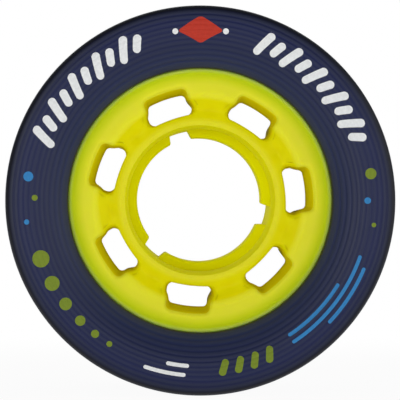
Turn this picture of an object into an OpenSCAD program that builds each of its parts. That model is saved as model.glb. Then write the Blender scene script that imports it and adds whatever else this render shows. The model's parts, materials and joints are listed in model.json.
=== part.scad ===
// Quad roller skate wheel: a soft tyre cast onto a moulded hub with windows and two bearing seats.
// The origin is the wheel's centre, the axle runs along Y and the front side faces -Y.

/* [Tyre] */
// Diameter over the tread
wheel_d = 59; // [57:0.5:64]
// Width over the tyre's two sides
wheel_w = 38; // [36:0.5:42]
// Distance of the crest of each side inside the tread
crest_inset = 3.5; // [2.5:0.1:5]
// Slope of the side where it meets the hub
foot_slope = 55; // [35:1:65]
// Slope of the side where it meets the shoulder
shoulder_slope = 12; // [5:1:20]
// Radius of the shoulder between side and tread
shoulder_r = 1.3; // [0.8:0.1:2]
// Distance from one turned groove in the side to the next
groove_pitch = 0.77; // [0.65:0.01:1.2]
// Width of a turned groove
groove_w = 0.5; // [0.3:0.05:0.6]
// Depth of a turned groove
groove_depth = 0.05; // [0.03:0.01:0.1]
// Plain margin between the hub and the first groove
groove_margin = 0.9; // [0.6:0.1:1.5]
// Plain margin between the last groove and the shoulder
shoulder_margin = 0.1; // [0.1:0.1:1.5]

/* [Hub ring] */
// Diameter of the hub where the tyre begins
hub_d = 40; // [38:0.5:42]
// Width of the ring over its front and rear crests
ring_w = 29; // [27:0.5:31]
// Distance of the ring's crest inside the tyre
ring_t = 3.5; // [3:0.1:4]
// Fall of the ring's face from its crest to its outer edge
ring_fall = 0.3; // [0.2:0.1:0.8]
// Rounding of the ring's outer edge
ring_edge_r = 0.6; // [0.4:0.1:2]
// Rounding of the ring's crest
crest_r = 1.2; // [0.6:0.1:1.5]

/* [Spokes] */
// Distance of the spokes' lowest line outside the bearing seats
spoke_t = 2.8; // [2.6:0.1:3.2]
// Depth of that line below the end faces of the boss
spoke_drop = 0.5; // [0.3:0.1:0.8]
// Rounding of the hollow along that line
spoke_r = 0.9; // [0.5:0.1:1]

/* [Windows] */
// Number of windows round the hub
windows = 7; // [5:1:8]
// Width of a window through the ring
window_w = 6.5; // [5:0.1:7]
// Wall left between the windows and the bearing seats
boss_wall = 1.95; // [1.9:0.05:2.5]
// Length of a window's wide inner part
window_wide_l = 1.2; // [1:0.1:2]
// Extra width of that part on each side
window_flare = 0.35; // [0.1:0.05:0.5]
// Wall left between the windows and the tyre
window_wall = 3; // [2:0.1:3.2]
// Corner radius of a window
window_corner = 0.75; // [0.4:0.05:1]
// Angle of the first window, from +X towards +Z
window_angle = 109; // [0:1:359]

/* [Bearing seats] */
// Outside diameter of the bearing that each seat takes
bearing_d = 22; // [19:0.5:23]
// Width of that bearing
bearing_w = 7; // [6:0.5:8]
// Depth of each bearing below the end of the boss
bearing_recess = 2; // [1:0.1:2.5]
// Distance from the seats to where the boss's end face rounds off
boss_t = 1; // [0.8:0.1:1.2]
// Rounding of the boss there
boss_r = 0.6; // [0.3:0.1:0.6]
// Chamfer at the mouth of each seat
seat_chamfer = 0.45; // [0.2:0.05:0.6]
// Width of the lip, which keeps the two bearings apart
lip_w = 10; // [8:0.5:12]
// Height of the lip above the seats
lip_h = 1.25; // [0.8:0.05:2]
// Number of notches in the lip
notches = 3; // [2:1:6]
// Width of a notch
notch_w = 3.2; // [2:0.1:5]
// Depth of a notch below the seats
notch_sink = 0.2; // [0.1:0.05:0.4]
// Angle of the first notch, from +X towards +Z
notch_angle = 107; // [0:1:359]

/* [Tyre anchor] */
// Rows of keys round the ring, which hold the tyre from sliding off sideways
key_rows = 2; // [1:1:2]
// Distance from one row of keys to the next
key_spacing = 12; // [8:0.5:12]
// Width of a key
key_w = 3; // [2:0.1:5]
// Height of a key above the ring
key_h = 1.5; // [0.8:0.1:2.5]
// Depth to which a key is rooted in the ring
key_root = 1; // [0.5:0.1:1.5]
// Gaps in each row of keys, which hold the tyre from turning on the hub
key_gaps = 7; // [4:1:12]
// Width of a gap
key_gap_w = 4; // [2:0.1:6]

/* [Hidden] */
$fn = 160;

// Length by which a cut runs past a face
lap = 0.5;

// Straight steps that make up one rounded corner
arc_steps = 6;

// Points of the outlines below are [radius, height along the axle]
tyre_r = wheel_d / 2;
hub_r = hub_d / 2;
seat_r = bearing_d / 2;
boss_z = lip_w / 2 + bearing_w + bearing_recess;
spoke_z = boss_z - spoke_drop;
ring_z = ring_w / 2;
window_in_r = seat_r + boss_wall;
window_out_r = hub_r - window_wall;

// Each side of the tyre is two arcs that meet at its crest: one in to the hub, one out to the shoulder
side_crest = [tyre_r - crest_inset, wheel_w / 2];
inner_crown_r = (side_crest.x - hub_r) / sin(foot_slope);
outer_crown_r = (crest_inset - shoulder_r * (1 - sin(shoulder_slope))) / sin(shoulder_slope);
shoulder_start = side_crest + outer_crown_r * (heading(90 - shoulder_slope) - [0, 1]);
shoulder = shoulder_start - shoulder_r * heading(90 - shoulder_slope);
first_groove = hub_r + groove_margin;
last_groove = floor((shoulder_start.x - shoulder_margin - groove_w - first_groove) / groove_pitch);

// The end face of the boss rounds off into the hollow of the spokes, which rises to the ring's round
// crest, and the ring's face falls to its round outer edge. Straight slopes join the four roundings
spoke_run = hub_r - ring_t - seat_r - spoke_t;
hollow_r = min(spoke_r, 0.45 * spoke_run);
top_r = min(crest_r, 0.45 * spoke_run);
boss = [seat_r + boss_t, boss_z - boss_r];
hollow = [seat_r + spoke_t, spoke_z + hollow_r];
top = [hub_r - ring_t, ring_z - top_r];
edge = [hub_r - ring_edge_r, ring_z - ring_fall - ring_edge_r];
boss_angle = tangent_angle(boss, boss_r, hollow, -hollow_r);
slope_angle = tangent_angle(hollow, -hollow_r, top, top_r);
face_angle = tangent_angle(top, top_r, edge, ring_edge_r);

function heading(angle) = [cos(angle), sin(angle)];

// Direction in which the line faces that touches two circles from above, or from below where a
// radius is negative
function tangent_angle(c1, r1, c2, r2) =
    atan2(c2.y - c1.y, c2.x - c1.x) + acos((r1 - r2) / norm(c2 - c1));

// Direction in which the tyre's side faces at a radius, and the point of the side there
function crown_r(r) = r < side_crest.x ? inner_crown_r : outer_crown_r;

function side_angle(r) = acos((r - side_crest.x) / crown_r(r));

function side_point(r) = side_crest + crown_r(r) * (heading(side_angle(r)) - [0, 1]);

function arc(centre, r, from, to, steps = arc_steps) =
    [for (i = [0 : steps]) centre + r * heading(from + (to - from) * i / steps)];

// One half of an outline, closed by its mirror image below the first axis
function with_mirror_image(points) =
    concat(points, [for (i = [len(points) - 1 : -1 : 0]) [points[i].x, -points[i].y]]);

module facing_front() {
    rotate([90, 0, 0]) children();
}

module turned() {
    facing_front() rotate_extrude() children();
}

module tyre_profile() {
    groove_points = [
        for (i = [0 : last_groove])
            let (start = first_groove + i * groove_pitch, bottom = start + groove_w / 2)
                each [
                    side_point(start),
                    side_point(bottom) - groove_depth * heading(side_angle(bottom)),
                    side_point(start + groove_w)
                ]
    ];
    polygon(with_mirror_image(concat(
        [side_point(hub_r)],
        groove_points,
        arc(shoulder, shoulder_r, 90 - shoulder_slope, 0)
    )));
}

module hub_profile() {
    polygon(with_mirror_image(concat(
        [
            [seat_r - lip_h, lip_w / 2],
            [seat_r, lip_w / 2],
            [seat_r, boss_z - seat_chamfer],
            [seat_r + seat_chamfer, boss_z]
        ],
        arc(boss, boss_r, 90, boss_angle),
        arc(hollow, hollow_r, 180 + boss_angle, 180 + slope_angle),
        arc(top, top_r, slope_angle, face_angle),
        arc(edge, ring_edge_r, face_angle, 0)
    )));
}

// Keys that stand on the ring, inside the tyre, and fill matching grooves in it
module anchor_keys() {
    difference() {
        turned()
            for (row = [0 : key_rows - 1])
                translate([hub_r - key_root, (row - (key_rows - 1) / 2) * key_spacing - key_w / 2])
                    square([key_root + key_h, key_w]);
        facing_front()
            for (gap = [0 : key_gaps - 1])
                rotate(gap * 360 / key_gaps)
                    translate([hub_r - key_root - lap, -key_gap_w / 2, -ring_z])
                        cube([key_root + key_h + 2 * lap, key_gap_w, ring_w]);
    }
}

// One window: wide between the spokes, narrower in the ring, its outer end round with the ring
module window_outline() {
    half = window_w / 2;
    spoke_half = half + window_flare;
    inner = [window_in_r, spoke_half] + window_corner * [1, -1];
    outer_y = half - window_corner;
    outer = [sqrt((window_out_r - window_corner) ^ 2 - outer_y ^ 2), outer_y];
    outer_turn = atan2(outer.y, outer.x);
    neck_r = min(window_in_r + window_wide_l, outer.x - window_flare);
    polygon(with_mirror_image(concat(
        arc(inner, window_corner, 180, 90),
        [[neck_r, spoke_half], [neck_r + window_flare, half]],
        arc(outer, window_corner, 90, outer_turn),
        arc([0, 0], window_out_r, outer_turn, 0)
    )));
}

module window_cut() {
    linear_extrude(ring_w + 2 * lap, center = true) window_outline();
}

module notch_cut() {
    intersection() {
        cylinder(r = seat_r + notch_sink, h = lip_w + 2 * lap, center = true);
        translate([0, -notch_w / 2, -lip_w]) cube([bearing_d, notch_w, 2 * lip_w]);
    }
}

module tyre() {
    color("#262A4C")
        difference() {
            turned() tyre_profile();
            anchor_keys();
        }
}

module hub() {
    color("#D6D41E")
        difference() {
            union() {
                turned() hub_profile();
                anchor_keys();
            }
            facing_front() {
                for (i = [0 : windows - 1])
                    rotate(window_angle + i * 360 / windows) window_cut();
                for (i = [0 : notches - 1])
                    rotate(notch_angle + i * 360 / notches) notch_cut();
            }
        }
}

tyre();
hub();
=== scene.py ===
import json
import math

import bmesh
import bpy
from mathutils import Matrix, Vector


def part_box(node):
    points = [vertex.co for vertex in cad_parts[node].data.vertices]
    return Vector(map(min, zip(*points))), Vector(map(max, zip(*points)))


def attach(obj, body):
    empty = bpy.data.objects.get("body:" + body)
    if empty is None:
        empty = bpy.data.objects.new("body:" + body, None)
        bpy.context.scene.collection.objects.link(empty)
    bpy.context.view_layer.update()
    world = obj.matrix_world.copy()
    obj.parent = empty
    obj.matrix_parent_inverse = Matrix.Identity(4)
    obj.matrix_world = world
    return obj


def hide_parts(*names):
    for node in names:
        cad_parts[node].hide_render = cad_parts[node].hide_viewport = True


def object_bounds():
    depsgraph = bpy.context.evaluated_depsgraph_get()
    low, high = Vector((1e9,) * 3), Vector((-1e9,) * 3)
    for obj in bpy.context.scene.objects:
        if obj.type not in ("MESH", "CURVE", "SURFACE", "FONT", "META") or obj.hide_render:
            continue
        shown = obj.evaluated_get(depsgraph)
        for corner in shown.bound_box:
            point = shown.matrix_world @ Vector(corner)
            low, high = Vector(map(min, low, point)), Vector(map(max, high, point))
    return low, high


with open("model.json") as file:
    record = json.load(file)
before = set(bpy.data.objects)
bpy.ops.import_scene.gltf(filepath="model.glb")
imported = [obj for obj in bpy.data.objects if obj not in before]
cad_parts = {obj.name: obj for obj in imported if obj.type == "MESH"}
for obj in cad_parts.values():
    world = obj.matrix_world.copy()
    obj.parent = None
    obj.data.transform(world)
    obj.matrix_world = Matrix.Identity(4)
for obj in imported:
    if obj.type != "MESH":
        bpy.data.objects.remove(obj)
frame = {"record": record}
cad_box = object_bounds()

# Hub: one injection moulding in lime-yellow nylon. A ring carries the tyre, spokes between seven
# windows join it to a boss, and the boss seats a bearing at each end, against a notched lip.
# The front half is made first, and the rear is its mirror image, apart from the windows' walls.

# Lengths are in millimetres, and a profile point is (radius, height above mid-width)
MM = 0.001
MERGE = 0.0005
TOLERANCE = 0.001
ANGLE_TOLERANCE = 0.01
HUB_STEPS = 504
WINDOWS = 7
WINDOW_ANGLE = 109
NOTCHES = 3
NOTCH_ANGLE = 107
NOTCH_W = 2.9
NOTCH_TAPER = math.radians(1.8)

seat = frame["record"]["mounts"][0]["dims"]
seat_r = seat["r_mm"]
ring_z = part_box("hub")[1].y / MM
hub_r = 20.1
seat_chamfer = 0.45
lead_in = 1.3
lip_z = 5.0
lip_in_r = seat_r - 1.35
lip_round = 0.4
boss_z = lip_z + seat["length_mm"] + seat_chamfer
boss_r = seat_r + 1.0
boss_round = 0.6
spoke_r = seat_r + 2.8
spoke_z = boss_z - 0.5
spoke_round = 0.9
crest_r = hub_r - 3.6
crest_round = 1.2
ring_fall = 0.3
edge_round = 0.3
edge_bead = 0.12
dimple_r = 13.7
dimple_size = 0.9
dimple_depth = 0.28

# Core pins from both sides shape the windows. The rear pins are the longer ones, so the pins meet a
# little way below the front face. A window is narrowest there, and its walls lean out to both faces,
# so that the pins draw out. Each pair is the size at the faces and the size where the pins meet
pins_meet_z = 10.0
window_half = (3.45, 2.96)
window_in_r = (seat_r + 1.88, seat_r + 1.91)
window_bow = 0.18
window_out_r = (hub_r - 2.7, hub_r - 3.84)
window_corner = (0.95, 0.7)
window_in_corner = (1.05, 1.0)
window_flare = 0.45
neck_start = (14.0, 14.2)
neck_end = (15.5, 15.5)
window_roll = 0.5
window_roll_in = 0.2
NECK_STEPS = 8
BOW_STEPS = 6
CORNER_STEPS = 16
END_STEPS = 20


def arc(centre, radius, start, end, steps):
    """Points from one heading to another, in degrees, on a circle."""
    headings = [math.radians(start + (end - start) * i / steps) for i in range(steps + 1)]
    return [(centre[0] + radius * math.cos(a), centre[1] + radius * math.sin(a)) for a in headings]


def stretch(start, end, steps):
    """Points inside a straight run, without its two ends."""
    shares = [i / steps for i in range(1, steps)]
    return [(start[0] + (end[0] - start[0]) * s, start[1] + (end[1] - start[1]) * s) for s in shares]


def tangent_heading(c1, r1, c2, r2):
    """Heading, in degrees, in which the line faces that touches two circles.

    A circle that the line touches from below has a radius under 0.
    """
    dx, dy = c2[0] - c1[0], c2[1] - c1[1]
    return math.degrees(math.atan2(dy, dx) + math.acos((r1 - r2) / math.hypot(dx, dy)))


def spin_profile(bm, points, steps, start_angle):
    """Turns an open profile once round the axle."""
    turn = math.radians(start_angle)
    verts = [bm.verts.new((r * math.cos(turn), -h, r * math.sin(turn))) for r, h in points]
    edges = [bm.edges.new(pair) for pair in zip(verts, verts[1:])]
    bmesh.ops.spin(bm, geom=verts + edges, cent=(0, 0, 0), axis=(0, -1, 0), dvec=(0, 0, 0),
                   angle=math.tau, steps=steps, use_merge=True, use_duplicate=False)


def finish_piece(name, bm, sharp_angle):
    """Closes the seams, turns the faces outwards, scales to metres and links the object."""
    bmesh.ops.remove_doubles(bm, verts=bm.verts, dist=MERGE)
    bmesh.ops.recalc_face_normals(bm, faces=bm.faces)
    bmesh.ops.scale(bm, vec=(MM, MM, MM), verts=bm.verts)
    for face in bm.faces:
        face.smooth = True
    mesh = bpy.data.meshes.new(name)
    bm.to_mesh(mesh)
    bm.free()
    mesh.set_sharp_from_angle(angle=math.radians(sharp_angle))
    piece = bpy.data.objects.new(name, mesh)
    bpy.context.scene.collection.objects.link(piece)
    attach(piece, "root")
    return piece


boss = (boss_r, boss_z - boss_round)
hollow = (spoke_r, spoke_z + spoke_round)
crest = (crest_r, ring_z - crest_round)
edge = (hub_r - edge_round, ring_z - ring_fall - edge_round + edge_bead)
bead_foot = (hub_r - 3 * edge_round, ring_z - ring_fall)
sink_heading = tangent_heading(boss, boss_round, hollow, -spoke_round)
rise_heading = tangent_heading(hollow, -spoke_round, crest, crest_round)
face_heading = tangent_heading(crest, crest_round, bead_foot, 0)
bead_heading = tangent_heading(bead_foot, 0, edge, edge_round)
boss_arc = arc(boss, boss_round, 90, sink_heading, steps=4)
spoke_arc = arc(hollow, spoke_round, 180 + sink_heading, 180 + rise_heading, steps=7)
crest_arc = arc(crest, crest_round, rise_heading, face_heading, steps=6)
edge_arc = arc(edge, edge_round, bead_heading, 0, steps=8)
mouth = (seat_r + seat_chamfer, boss_z)
face_profile = (
    [mouth] + stretch(mouth, boss_arc[0], steps=3) + boss_arc
    + stretch(boss_arc[-1], spoke_arc[0], steps=6) + spoke_arc
    + stretch(spoke_arc[-1], crest_arc[0], steps=8) + crest_arc
    + stretch(crest_arc[-1], bead_foot, steps=14) + [bead_foot]
    + stretch(bead_foot, edge_arc[0], steps=3) + edge_arc
)

# Rows of points that the lip's round edge needs, as shares of its radius
LIP_ROWS = (1, 0.6, 0.3, 0.1)
lip_rows = [(seat_r, lip_z - lip_round * share) for share in LIP_ROWS]
bore_profile = [(seat_r, 0)] + lip_rows + [(seat_r, lip_z), (seat_r, boss_z - lead_in)]


def on_face(radius):
    """Point of the hub's front face at a radius, and the direction in which the face looks there."""
    for (r1, h1), (r2, h2) in zip(face_profile, face_profile[1:]):
        if radius <= r2 and r2 > r1:
            break
    share = (radius - r1) / (r2 - r1)
    length = math.hypot(r2 - r1, h2 - h1)
    return h1 + (h2 - h1) * share, ((h1 - h2) / length, (r2 - r1) / length)


def window_side(radius, half, start, end):
    """Half the width of a window at a radius: wider between the spokes, with a soft neck to the ring."""
    share = min(max((end - radius) / (end - start), 0), 1)
    return half + window_flare * share * share * (3 - 2 * share)


def window_outline(half, in_r, out_r, corner, in_corner, start, end):
    """Half of a window's outline, as (along, across) its centre line."""
    near = (in_r + in_corner, half + window_flare - in_corner)
    across = half - corner
    far = (math.sqrt((out_r - corner) ** 2 - across ** 2), across)
    far_turn = math.degrees(math.atan2(far[1], far[0]))
    neck = [start + (end - start) * i / NECK_STEPS for i in range(NECK_STEPS + 1)]
    shares = [i / BOW_STEPS for i in range(BOW_STEPS)]
    bow = [(in_r + window_bow * (1 - share ** 2), near[1] * share) for share in shares]
    return (
        bow + arc(near, in_corner, 180, 90, CORNER_STEPS)
        + [(r, window_side(r, half, start, end)) for r in neck]
        + arc(far, corner, 90, far_turn, CORNER_STEPS)
        + arc((0, 0), out_r, far_turn, 0, END_STEPS)
    )


def nearest(point, outline):
    """Point of a half outline that lies nearest to a point, on the point's own side."""
    along, across = point[0], abs(point[1])
    best = (math.inf, 0, 0)
    for (x1, y1), (x2, y2) in zip(outline, outline[1:]):
        dx, dy = x2 - x1, y2 - y1
        size = dx * dx + dy * dy
        if size == 0:
            continue
        share = min(max(((along - x1) * dx + (across - y1) * dy) / size, 0), 1)
        x, y = x1 + dx * share, y1 + dy * share
        best = min(best, ((along - x) ** 2 + (across - y) ** 2, x, y))
    return best[1], math.copysign(best[2], point[1])


hub = bmesh.new()
spin_profile(hub, bore_profile + face_profile + [(hub_r, 0)], HUB_STEPS, WINDOW_ANGLE)
bmesh.ops.remove_doubles(hub, verts=hub.verts, dist=MERGE)

# A cut takes whole faces of the front: this many steps on each side of a window's centre line. What
# slides to meet it eases out over a short reach, and nothing behind FRONT_Y is cut or slid
CUT_STEPS = 19
SLIDE_REACH = 1.2
FRONT_Y = -1
sector = 360 / WINDOWS
cut_angle = CUT_STEPS * 360 / HUB_STEPS
rim_in_r = window_in_r[0] - window_roll_in
rim_out_r = window_out_r[0] + window_roll
cut_in_r = max(r for r, h in face_profile if r <= rim_in_r + TOLERANCE)
cut_out_r = min(r for r, h in face_profile if r >= rim_out_r)


def window_place(co):
    """Radius of a point, its angle from the nearest window's centre line, and that line's angle."""
    angle = math.degrees(math.atan2(co.z, co.x)) - WINDOW_ANGLE
    number = round(angle / sector)
    return math.hypot(co.x, co.z), angle - number * sector, WINDOW_ANGLE + number * sector


def in_window(face):
    """Whether a face of the front lies inside a cut."""
    places = [window_place(v.co) for v in face.verts]
    radii = [r for r, angle, line in places]
    return (
        cut_in_r - TOLERANCE < min(radii) and max(radii) < cut_out_r + TOLERANCE
        and all(abs(angle) < cut_angle + ANGLE_TOLERANCE for r, angle, line in places)
        and max(v.co.y for v in face.verts) < FRONT_Y
    )


bmesh.ops.delete(hub, geom=[f for f in hub.faces if in_window(f)], context="FACES")

# The steps round the hub are slid along their circles, until the cut has the window's straight sides
for v in hub.verts:
    r, angle, line = window_place(v.co)
    if r < mouth[0] - TOLERANCE or v.co.y > FRONT_Y:
        continue
    held = min(max(r, rim_in_r), rim_out_r)
    half = window_side(held, window_half[0] + window_roll, neck_start[0], neck_end[0])
    side = math.degrees(math.asin(half / held))
    ease = min(abs(r - held) / SLIDE_REACH, 1)
    side += (cut_angle - side) * ease
    if abs(angle) <= cut_angle:
        slid = angle * side / cut_angle
    else:
        share = (sector / 2 - abs(angle)) / (sector / 2 - cut_angle)
        slid = math.copysign(sector / 2 - (sector / 2 - side) * share, angle)
    turn = math.radians(line + slid)
    v.co.x, v.co.z = r * math.cos(turn), r * math.sin(turn)

# A shallow sink mark lies in the middle of each spoke
for v in hub.verts:
    r, angle, line = window_place(v.co)
    if boss_r < r < crest_r and v.co.y < FRONT_Y:
        off = r * math.radians(sector / 2 - abs(angle))
        v.co.y += dimple_depth * math.exp(-((r - dimple_r) ** 2 + off ** 2) / dimple_size ** 2)


def to_window(co, line):
    """Place of a point as (along, across) a window's centre line."""
    turn = Matrix.Rotation(math.radians(-line), 2)
    return turn @ Vector((co.x, co.z))


def set_in_window(v, line, place, height):
    """Moves a point to a place along and across a window's centre line, at a height."""
    v.co.x, v.co.z = Matrix.Rotation(math.radians(line), 2) @ Vector(place)
    v.co.y = -height


def rim_edges():
    """Edges of the cuts, which are open until their walls reach mid-width."""
    return [e for e in hub.edges if e.is_boundary and max(v.co.y for v in e.verts) < FRONT_Y]


# Each window's rim is drawn onto its outline, rolled over and taken down to mid-width
ROLL_STEPS = 5
DRAWN = 1
for step in range(ROLL_STEPS + 1):
    turn = math.radians(90 * step / ROLL_STEPS)
    left = 1 - math.sin(turn)
    drop = window_roll * (1 - math.cos(turn))
    rim = rim_edges()
    if step > 0:
        rim = bmesh.ops.extrude_edge_only(hub, edges=rim)["geom"]
    outline = window_outline(
        window_half[0] + window_roll * left, window_in_r[0] - window_roll_in * left,
        window_out_r[0] + window_roll * left, window_corner[0] + window_roll * left,
        window_in_corner[0] + window_roll_in * left, neck_start[0], neck_end[0],
    )
    for v in {v for e in rim if isinstance(e, bmesh.types.BMEdge) for v in e.verts}:
        r, angle, line = window_place(v.co)
        place = nearest(to_window(v.co, line), outline)
        height, look = on_face(math.hypot(*place))
        set_in_window(v, line, place, height - drop * look[1])

# Rows of a window's wall, as shares of the way to mid-width, close together down to where the pins meet
WALL_ROWS = (0.06, 0.12, 0.19, 0.25, 0.31, 0.6, 1)
reached = 0
for share in WALL_ROWS:
    for part in bmesh.ops.extrude_edge_only(hub, edges=rim_edges())["geom"]:
        if isinstance(part, bmesh.types.BMFace):
            part.material_index = DRAWN
        if isinstance(part, bmesh.types.BMVert):
            part.co.y *= (1 - share) / (1 - reached)
    reached = share

bmesh.ops.mirror(hub, geom=hub.verts[:] + hub.edges[:] + hub.faces[:], axis="Y", merge_dist=MERGE)
bmesh.ops.remove_doubles(hub, verts=hub.verts, dist=MERGE)

# The walls are drawn in to where the pins meet
window_sizes = (
    window_half, window_in_r, window_out_r, window_corner, window_in_corner, neck_start, neck_end,
)
for v in {v for face in hub.faces if face.material_index == DRAWN for v in face.verts}:
    run = ring_z - pins_meet_z if -v.co.y > pins_meet_z else ring_z + pins_meet_z
    share = 1 - min(abs(-v.co.y - pins_meet_z) / run, 1)
    outline = window_outline(*[at_face + (at_pins - at_face) * share for at_face, at_pins in window_sizes])
    line = window_place(v.co)[2]
    set_in_window(v, line, nearest(to_window(v.co, line), outline), -v.co.y)

# The lip is raised from the bore's wall between the seats, apart from its notches
notch_angle = math.degrees(math.asin(NOTCH_W / 2 / seat_r))


def from_notch(co):
    """Angle from the nearest notch's centre line, and that line's angle."""
    angle = math.degrees(math.atan2(co.z, co.x)) - NOTCH_ANGLE
    number = round(angle * NOTCHES / 360)
    return angle - number * 360 / NOTCHES, NOTCH_ANGLE + number * 360 / NOTCHES


def in_lip(face):
    """Whether a face of the bore lies under the lip."""
    centre = face.calc_center_median()
    on_bore = math.hypot(centre.x, centre.z) < seat_r + TOLERANCE and abs(centre.y) < lip_z
    return on_bore and abs(from_notch(centre)[0]) > notch_angle


bore_faces = [f for f in hub.faces if in_lip(f)]
lip = bmesh.ops.extrude_face_region(hub, geom=bore_faces)
bmesh.ops.delete(hub, geom=bore_faces, context="FACES")


def rounded(distance):
    """Depth to which a round edge lies below the surface, at a distance from its side."""
    short = max(lip_round - distance, 0)
    return lip_round - math.sqrt(lip_round ** 2 - min(short, lip_round) ** 2)


for v in [v for v in lip["geom"] if isinstance(v, bmesh.types.BMVert)]:
    off = from_notch(v.co)[0]
    from_side = seat_r * math.radians(abs(off) - notch_angle)
    sunk = max(rounded(from_side), rounded(lip_z - abs(v.co.y)))
    slid = math.copysign(NOTCH_TAPER * max(1 - from_side / NOTCH_W, 0), off)
    turn = math.atan2(v.co.z, v.co.x) + slid
    v.co.x, v.co.z = (lip_in_r + sunk) * math.cos(turn), (lip_in_r + sunk) * math.sin(turn)
for face in hub.faces:
    centre = face.calc_center_median()
    if math.hypot(centre.x, centre.z) < mouth[0]:
        face.material_index = DRAWN


def linear(colour):
    """An sRGB hex colour as linear red, green, blue and alpha."""
    parts = [int(colour[i:i + 2], 16) / 255 for i in (1, 3, 5)]
    return [p / 12.92 if p <= 0.04045 else ((p + 0.055) / 1.055) ** 2.4 for p in parts] + [1]


def add_node(tree, kind, inputs=None, **settings):
    """Adds a node with its settings, and sets or links its inputs."""
    node = tree.nodes.new(kind)
    for name, value in settings.items():
        setattr(node, name, value)
    for name, value in (inputs or {}).items():
        if isinstance(value, bpy.types.NodeSocket):
            tree.links.new(value, node.inputs[name])
        else:
            node.inputs[name].default_value = value
    return node


def set_ramp(node, stops):
    """Gives a colour ramp its stops, as {position: colour}."""
    elements = node.color_ramp.elements
    while len(elements) < len(stops):
        elements.new(1)
    for element, (position, colour) in zip(elements, stops.items()):
        element.position = position
        element.color = linear(colour)


def new_material(name):
    """A material with its node tree, its shader and its coordinates."""
    material = bpy.data.materials.new(name)
    material.use_nodes = True
    tree = material.node_tree
    return material, tree, tree.nodes["Principled BSDF"], add_node(tree, "ShaderNodeTexCoord")


def hub_share(r):
    """Place of a radius on the hub's colour ramp."""
    return (r - lip_in_r) / (hub_r - lip_in_r)


FLOW_SIZE = 6
GRAIN_SIZE = 0.35
GRAIN_DEPTH = 0.03


def moulded_nylon(name, stops, roughness, specular, sink):
    """Translucent nylon: light sinks in and fills the hollows, and its colour follows a ramp by radius."""
    nylon, tree, shader, coords = new_material(name)
    flat = add_node(tree, "ShaderNodeVectorMath", {0: coords.outputs["Object"], 1: (1, 0, 1)},
                    operation="MULTIPLY")
    radius = add_node(tree, "ShaderNodeVectorMath", {0: flat.outputs["Vector"]}, operation="LENGTH")
    reach = add_node(tree, "ShaderNodeMapRange", {
        "Value": radius.outputs["Value"], "From Min": lip_in_r * MM, "From Max": hub_r * MM,
    })
    shade = add_node(tree, "ShaderNodeValToRGB", {"Fac": reach.outputs["Result"]})
    set_ramp(shade, stops)
    flow = add_node(tree, "ShaderNodeTexNoise", {
        "Vector": coords.outputs["Object"], "Scale": 1 / (FLOW_SIZE * MM), "Detail": 2, "Roughness": 0.5,
    })
    tint = add_node(tree, "ShaderNodeMapRange", {
        "Value": flow.outputs["Fac"], "To Min": 0.96, "To Max": 1.03,
    })
    colour = add_node(tree, "ShaderNodeVectorMath", {
        0: shade.outputs["Color"], 1: tint.outputs["Result"],
    }, operation="MULTIPLY")
    grain = add_node(tree, "ShaderNodeTexNoise", {
        "Vector": coords.outputs["Object"], "Scale": 1 / (GRAIN_SIZE * MM), "Detail": 3, "Roughness": 0.6,
    })
    bump = add_node(tree, "ShaderNodeBump", {
        "Height": grain.outputs["Fac"], "Strength": 0.12, "Distance": GRAIN_DEPTH * MM,
    })
    tree.links.new(colour.outputs["Vector"], shader.inputs["Base Color"])
    tree.links.new(bump.outputs["Normal"], shader.inputs["Normal"])
    shader.inputs["Roughness"].default_value = roughness
    shader.inputs["IOR"].default_value = 1.53
    shader.inputs["Specular IOR Level"].default_value = specular
    shader.inputs["Subsurface Weight"].default_value = sink
    shader.inputs["Subsurface Radius"].default_value = (1, 0.9, 0.1)
    shader.inputs["Subsurface Scale"].default_value = 2 * MM
    return nylon


# The face took the polish of its mould. The walls that the core pins left are drawn dull
# The face's ramp paints light and shade: the paler, bluer boss and crest are painted sheen, and the
# hollows keep the plain yellow. Towards the tyre it turns darker and greener, and its pale green last stop
# at the rounded edge is a painted highlight
polished_nylon = moulded_nylon("moulded nylon, lime yellow, polished", {
    hub_share(boss_r): "#F2EA2E",
    hub_share(spoke_r - 1.1): "#F0E800",
    hub_share(crest_r - 1.2): "#F0E800",
    hub_share(crest_r - 0.6): "#F5F136",
    hub_share(bead_foot[0] - 1.5): "#F4F23A",
    hub_share(bead_foot[0] - 0.5): "#E6EE20",
    hub_share(bead_foot[0] + 0.2): "#D7EA10",
    hub_share(hub_r): "#D0F074",
}, roughness=0.38, specular=0.045, sink=0.7)
# The drawn ramp's pale yellow, palest in the bore, is painted light for the walls and the bore, which
# little light reaches
drawn_nylon = moulded_nylon("moulded nylon, lime yellow, drawn", {
    hub_share(seat_r): "#F4F000",
    hub_share(window_in_r[0]): "#ECDE00",
}, roughness=0.8, specular=0.04, sink=0.6)

hub_piece = finish_piece("hub_moulding", hub, sharp_angle=35)
hub_piece.data.materials.append(polished_nylon)
hub_piece.data.materials.append(drawn_nylon)
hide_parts("hub")

# Tyre: polyurethane cast round the hub, dark navy, then turned on a lathe. The tool leaves fine
# rings on both crowned sides, and the tread between the round shoulders is plain.
# The sides stay below the solid's box by the thickness of the ink that is printed on them.
TYRE_STEPS = 288
GROOVE_POINTS = 8
PLAIN_POINTS = 7
INK_T = 0.03
tyre_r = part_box("tyre")[1].x / MM
tyre_z = cad_box[1].y / MM - INK_T
crest_inset = 3.5
foot_slope = math.radians(60)
shoulder_slope = math.radians(12)
shoulder_r = 1.3
inner_edge_r = 0.15
groove_pitch = 0.77
groove_w = 0.5
groove_depth = 0.05
groove_margin = 0.9

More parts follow.
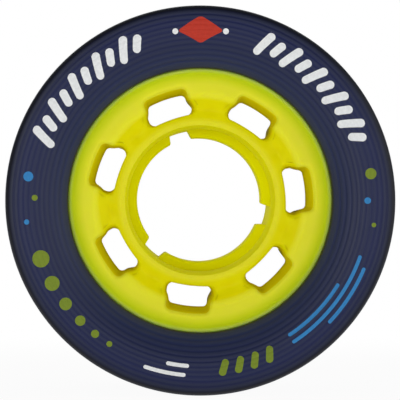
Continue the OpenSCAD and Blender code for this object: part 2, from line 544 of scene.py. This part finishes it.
side_crest = (tyre_r - crest_inset, tyre_z)
inner_crown_r = (side_crest[0] - hub_r) / math.sin(foot_slope)
outer_run = crest_inset - shoulder_r * (1 - math.sin(shoulder_slope))
outer_crown_r = outer_run / math.sin(shoulder_slope)
shoulder = (
    tyre_r - shoulder_r,
    tyre_z - outer_crown_r + (outer_crown_r - shoulder_r) * math.cos(shoulder_slope),
)
inner_centre = (side_crest[0], tyre_z - inner_crown_r)
foot_across = side_crest[0] - hub_r - inner_edge_r
foot_up = math.sqrt((inner_crown_r - inner_edge_r) ** 2 - foot_across ** 2)
inner_edge = (hub_r + inner_edge_r, inner_centre[1] + foot_up)
inner_edge_heading = math.degrees(math.atan2(foot_up, -foot_across))
first_groove = hub_r + groove_margin
side_end = side_crest[0] + outer_run
last_groove = math.floor((side_end - groove_w - first_groove) / groove_pitch)


def on_side(radius, raised=0):
    """Point of the tyre's side at a radius, raised square to the side, with its turned grooves."""
    crown_r = inner_crown_r if radius < side_crest[0] else outer_crown_r
    heading = math.acos((radius - side_crest[0]) / crown_r)
    number, along = divmod(radius - first_groove, groove_pitch)
    if 0 <= number <= last_groove and along < groove_w:
        raised -= groove_depth * (1 - math.cos(along / groove_w * math.tau)) / 2
    height = tyre_z - crown_r * (1 - math.sin(heading))
    return radius + raised * math.cos(heading), height + raised * math.sin(heading)


groove_step = groove_pitch / GROOVE_POINTS
side_steps = math.ceil((side_end - first_groove) / groove_step)
side_radii = [first_groove + i * groove_step for i in range(-PLAIN_POINTS, side_steps)]
tyre_profile = (
    [(hub_r, 0)] + arc(inner_edge, inner_edge_r, 180, inner_edge_heading, steps=6)
    + [on_side(r) for r in side_radii]
    + arc(shoulder, shoulder_r, 90 - math.degrees(shoulder_slope), 0, steps=12) + [(tyre_r, 0)]
)
tyre = bmesh.new()
spin_profile(tyre, tyre_profile, TYRE_STEPS, 0)
bmesh.ops.mirror(tyre, geom=tyre.verts[:] + tyre.edges[:] + tyre.faces[:], axis="Y", merge_dist=MERGE)

# Cast polyurethane is deep and satin: navy in the body and greyer near the hub. Its near black at the
# hub's edge is painted shade in the crease, and its near black where the turned shoulder rolls away is
# painted shade. The crests between the grooves get a painted grey highlight where the lights glint on the
# turned rings, and the lathe's tool leaves faint marks, whose pattern is squeezed so that they run long
# along the tread
RING_GLINT_COLOUR = "#1A1B0D"
TOOL_MARK_SIZE = 0.7
TOOL_MARK_DEPTH = 0.05
TOOL_MARK_SQUEEZE = 0.06
urethane, tree, shader, coords = new_material("cast polyurethane, navy")
flat = add_node(tree, "ShaderNodeVectorMath", {0: coords.outputs["Object"], 1: (1, 0, 1)},
                operation="MULTIPLY")
radius = add_node(tree, "ShaderNodeVectorMath", {0: flat.outputs["Vector"]}, operation="LENGTH")
reach = add_node(tree, "ShaderNodeMapRange", {
    "Value": radius.outputs["Value"], "From Min": hub_r * MM, "From Max": tyre_r * MM,
})
shade = add_node(tree, "ShaderNodeValToRGB", {"Fac": reach.outputs["Result"]})
# The ramp's near black stops at 0.0 and 0.955 are painted shade: the crease at the hub and the shoulder
# rolling away
set_ramp(shade, {
    0.0: "#04080C",
    0.03: "#242E56",
    0.35: "#192147",
    0.75: "#0F1A4A",
    0.9: "#10183C",
    0.955: "#0B0D1A",
    1.0: "#0D1433",
})
# Painted highlight: a grey is added on the crests between the turned grooves, where the lights glint
groove_middle = first_groove + groove_w / 2
ring_turn = add_node(tree, "ShaderNodeMath", {
    0: radius.outputs["Value"],
    1: math.tau / (groove_pitch * MM),
    2: -math.tau * groove_middle / groove_pitch,
}, operation="MULTIPLY_ADD")
ring = add_node(tree, "ShaderNodeMath", {0: ring_turn.outputs["Value"]}, operation="COSINE")
ring_glint = add_node(tree, "ShaderNodeMapRange", {
    "Value": ring.outputs["Value"], "From Min": 1, "From Max": -1,
})
glinted = add_node(tree, "ShaderNodeVectorMath", {
    0: ring_glint.outputs["Result"], 1: linear(RING_GLINT_COLOUR)[:3], 2: shade.outputs["Color"],
}, operation="MULTIPLY_ADD")
across = add_node(tree, "ShaderNodeVectorMath", {
    0: coords.outputs["Object"], 1: (TOOL_MARK_SQUEEZE, 1, TOOL_MARK_SQUEEZE),
}, operation="MULTIPLY")
tool_marks = add_node(tree, "ShaderNodeTexNoise", {
    "Vector": across.outputs["Vector"], "Scale": 1 / (TOOL_MARK_SIZE * MM),
    "Detail": 3, "Roughness": 0.55,
})
satin = add_node(tree, "ShaderNodeMapRange", {
    "Value": tool_marks.outputs["Fac"], "To Min": 0.38, "To Max": 0.52,
})
bump = add_node(tree, "ShaderNodeBump", {
    "Height": tool_marks.outputs["Fac"], "Strength": 0.15, "Distance": TOOL_MARK_DEPTH * MM,
})
tree.links.new(bump.outputs["Normal"], shader.inputs["Normal"])
tree.links.new(glinted.outputs["Vector"], shader.inputs["Base Color"])
tree.links.new(satin.outputs["Result"], shader.inputs["Roughness"])
shader.inputs["IOR"].default_value = 1.49
shader.inputs["Specular IOR Level"].default_value = 0.28

tyre_piece = finish_piece("tyre_casting", tyre, sharp_angle=60)
tyre_piece.data.materials.append(urethane)
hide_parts("tyre")

# Print: four inks laid on the tyre's front side by a soft pad, a plain pattern of bars, stripes and
# dots. Each mark is drawn flat, with x along the side and y outwards, cut where the turned rings
# bend it, given the ink's thickness and wrapped round the axle.
INK_COLOURS = {"white": "#F4F6F6", "lime": "#7C9022", "blue": "#2F86C6", "red": "#C4331E"}
INK_GRAIN = 0.5
MARK_SIDES = 20
MARK_STEP = 0.6
printed = bmesh.new()


def print_mark(mark, ink, angle, radius):
    """Wraps a flat mark onto the tyre's side at an angle and radius, and adds it to the print."""
    reach = max(abs(v.co.x) for v in mark.verts)
    cuts = [((0, r - radius, 0), (0, 1, 0)) for r in side_radii]
    columns = int(reach / MARK_STEP)
    cuts += [((i * MARK_STEP, 0, 0), (1, 0, 0)) for i in range(-columns, columns + 1)]
    for place, across in cuts:
        whole = mark.verts[:] + mark.edges[:] + mark.faces[:]
        bmesh.ops.bisect_plane(mark, geom=whole, plane_co=place, plane_no=across)
    top = bmesh.ops.extrude_face_region(mark, geom=mark.faces[:])["geom"]
    for v in top:
        if isinstance(v, bmesh.types.BMVert):
            v.co.z = INK_T
    for v in mark.verts:
        turn = math.radians(angle) - v.co.x / radius
        r, height = on_side(radius + v.co.y, v.co.z)
        v.co = (r * math.cos(turn), -height, r * math.sin(turn))
    for face in mark.faces:
        face.material_index = list(INK_COLOURS).index(ink)
    mesh = bpy.data.meshes.new("mark")
    mark.to_mesh(mesh)
    mark.free()
    printed.from_mesh(mesh)
    bpy.data.meshes.remove(mesh)


def print_bar(ink, angle, radius, length, width, tilt=0):
    """A bar with round ends, or a dot where its length is its width."""
    mark = bmesh.new()
    bmesh.ops.create_circle(mark, cap_ends=True, segments=MARK_SIDES, radius=width / 2,
                            matrix=Matrix.Rotation(math.pi / MARK_SIDES, 4, "Z"))
    for v in mark.verts:
        v.co.x += math.copysign((length - width) / 2, v.co.x)
    bmesh.ops.rotate(mark, verts=mark.verts, matrix=Matrix.Rotation(math.radians(tilt), 3, "Z"))
    print_mark(mark, ink, angle, radius)


def print_diamond(ink, angle, radius, length, width, corner):
    """A diamond with round corners."""
    mark = bmesh.new()
    bmesh.ops.create_circle(mark, cap_ends=True, segments=4, radius=0.5)
    bmesh.ops.scale(mark, vec=(length, width, 1), verts=mark.verts)
    bmesh.ops.bevel(mark, geom=mark.verts[:], offset=corner, offset_type="OFFSET", segments=4,
                    profile=0.5, affect="VERTICES", material=-1)
    print_mark(mark, ink, angle, radius)


# Two rows of leaning bars, long and short in turn, on both sides of a diamond between two dots
BAR_TILT = 66
BAR_SPACING = 5.1
for number in range(10):
    bar_length = 4.2 if number % 2 == 0 else 2.8
    for first_angle in (68, 158):
        print_bar("white", first_angle - BAR_SPACING * number, 25.5, bar_length, 1.25, BAR_TILT)
print_diamond("red", 90, 25.8, length=7.0, width=4.2, corner=0.5)
for angle in (98.5, 81.5):
    print_bar("white", angle, 25.8, 0.9, 0.9)

# Stripes, a row of dots that shrink, short bars, two lines and a few loose dots fill the rest
for angle, radius, length in ((316, 24.3, 11), (322, 25.5, 17), (327, 26.7, 10)):
    print_bar("blue", angle, radius, length, 0.55)
for number in range(6):
    dot = 2.6 - 0.34 * number
    print_bar("lime", 200 + 9.5 * number - 0.4 * number * number, 25.6, dot, dot)
for number in range(4):
    print_bar("lime", 278 + 5.4 * number, 25.4, 2.6, 1.1, BAR_TILT)
print_bar("white", 258, 26.4, 6.5, 0.6)
print_bar("white", 262, 25.0, 3.5, 0.6)
for ink, angle, radius, dot in (
    ("blue", 172, 26.2, 1.5), ("lime", 179, 25.0, 0.9), ("blue", 187, 26.4, 0.8),
    ("lime", 9, 26.0, 1.7), ("blue", 0, 25.2, 1.0), ("lime", 352, 26.4, 0.7),
):
    print_bar(ink, angle, radius, dot, dot)

print_piece = finish_piece("tyre_print", printed, sharp_angle=60)

# Pad ink is thin and chalky: it dries a little uneven, so its colour wanders. The chalky grain is
# drawn coarser than it is, so that it shows
for name, colour in INK_COLOURS.items():
    ink, tree, shader, coords = new_material("pad printing ink, " + name)
    chalk = add_node(tree, "ShaderNodeTexNoise", {
        "Vector": coords.outputs["Object"], "Scale": 1 / (INK_GRAIN * MM), "Detail": 2, "Roughness": 0.6,
    })
    tint = add_node(tree, "ShaderNodeMapRange", {
        "Value": chalk.outputs["Fac"], "To Min": 0.82, "To Max": 1.1,
    })
    uneven = add_node(tree, "ShaderNodeVectorMath", {
        0: linear(colour)[:3], 1: tint.outputs["Result"],
    }, operation="MULTIPLY")
    tree.links.new(uneven.outputs["Vector"], shader.inputs["Base Color"])
    shader.inputs["Roughness"].default_value = 0.6
    shader.inputs["Specular IOR Level"].default_value = 0.3
    print_piece.data.materials.append(ink)

# Floor: a round sheet of white board under the tread, which fades into the white room at its rim.
# The camera sees it as white as the room, and the wheel gets a weaker light from it.
FLOOR_R = 0.2
FLOOR_GLOW = 0.6
floor_mesh = bmesh.new()
bmesh.ops.create_circle(floor_mesh, cap_ends=True, segments=96, radius=FLOOR_R)
bmesh.ops.translate(floor_mesh, vec=(0, 0, cad_box[0].z), verts=floor_mesh.verts)
mesh = bpy.data.meshes.new("floor")
floor_mesh.to_mesh(mesh)
floor_mesh.free()
floor = bpy.data.objects.new("floor", mesh)
bpy.context.scene.collection.objects.link(floor)
board, tree, shader, coords = new_material("white board")
shader.inputs["Base Color"].default_value = linear("#F4F4F4")
shader.inputs["Roughness"].default_value = 0.8
distance = add_node(tree, "ShaderNodeVectorMath", {0: coords.outputs["Object"]}, operation="LENGTH")
fade = add_node(tree, "ShaderNodeMapRange", {
    "Value": distance.outputs["Value"], "From Min": 0.3 * FLOOR_R, "From Max": 0.95 * FLOOR_R,
    "To Min": 0.95, "To Max": 1,
}, interpolation_type="SMOOTHSTEP")
path = add_node(tree, "ShaderNodeLightPath")
glow_strength = add_node(tree, "ShaderNodeMapRange", {
    "Value": path.outputs["Is Camera Ray"], "To Min": FLOOR_GLOW, "To Max": 1.0,
})
glow = add_node(tree, "ShaderNodeEmission", {
    "Color": (1, 1, 1, 1), "Strength": glow_strength.outputs["Result"],
})
blend = add_node(tree, "ShaderNodeMixShader", {
    "Fac": fade.outputs["Result"], 1: shader.outputs["BSDF"], 2: glow.outputs["Emission"],
})
tree.links.new(blend.outputs["Shader"], tree.nodes["Material Output"].inputs["Surface"])
floor.data.materials.append(board)

# Light: a broad soft box in front, two small lights beside the lens, which reach into the windows,
# soft boxes at the left and right, one behind, and a white room
ROOM_GLOW = 0.12
world = bpy.data.worlds.new("white room")
bpy.context.scene.world = world
world.use_nodes = True
tree = world.node_tree
room = tree.nodes["Background"]
path = add_node(tree, "ShaderNodeLightPath")
strength = add_node(tree, "ShaderNodeMapRange", {
    "Value": path.outputs["Is Camera Ray"], "To Min": ROOM_GLOW, "To Max": 1.0,
})
room.inputs["Color"].default_value = (1, 1, 1, 1)
tree.links.new(strength.outputs["Result"], room.inputs["Strength"])


def soft_box(name, place, size, watts):
    """A round light of a size in metres, turned to the wheel's centre."""
    light = bpy.data.lights.new(name, "AREA")
    light.shape = "DISK"
    light.size = size
    light.energy = watts
    box = bpy.data.objects.new(name, light)
    box.location = place
    box.rotation_euler = (-Vector(place)).to_track_quat("-Z", "Y").to_euler()
    box.visible_camera = False
    bpy.context.scene.collection.objects.link(box)


soft_box("left_lens_light", (-0.26, -0.54, 0), size=0.12, watts=0.31)
soft_box("right_lens_light", (0.26, -0.54, 0), size=0.12, watts=0.31)
soft_box("front_soft_box", (0, -0.8, -0.1), size=1.2, watts=2.4)
soft_box("left_soft_box", (-0.55, -0.62, 0.1), size=0.8, watts=1.6)
soft_box("right_soft_box", (0.85, -0.3, 0.14), size=1.0, watts=3.0)
soft_box("back_soft_box", (0, 0.7, 0.1), size=1.0, watts=3.0)

# Camera: a long lens almost along the axle, a little to the left of it and above it. Its aim is
# a hair to the left of the axle and above it, in the plane of the front shoulder
CAMERA_DISTANCE = 0.503
CAMERA_LEFT = math.radians(0.92)
CAMERA_UP = math.radians(0.31)
AIM_LEFT = 0.07
AIM_UP = 0.09
FOCAL_PIXELS = 3212
IMAGE_PIXELS = 400
camera_data = bpy.data.cameras.new("camera")
camera_data.sensor_width = 36
camera_data.lens = camera_data.sensor_width * FOCAL_PIXELS / IMAGE_PIXELS
camera = bpy.data.objects.new("camera", camera_data)
camera.location = CAMERA_DISTANCE * Vector((
    -math.sin(CAMERA_LEFT) * math.cos(CAMERA_UP),
    -math.cos(CAMERA_LEFT) * math.cos(CAMERA_UP),
    math.sin(CAMERA_UP),
))
aim = Vector((-AIM_LEFT, -shoulder[1], AIM_UP)) * MM
camera.rotation_euler = (aim - camera.location).to_track_quat("-Z", "Y").to_euler()
bpy.context.scene.collection.objects.link(camera)
bpy.context.scene.camera = camera
bpy.context.scene.view_settings.view_transform = "Standard"
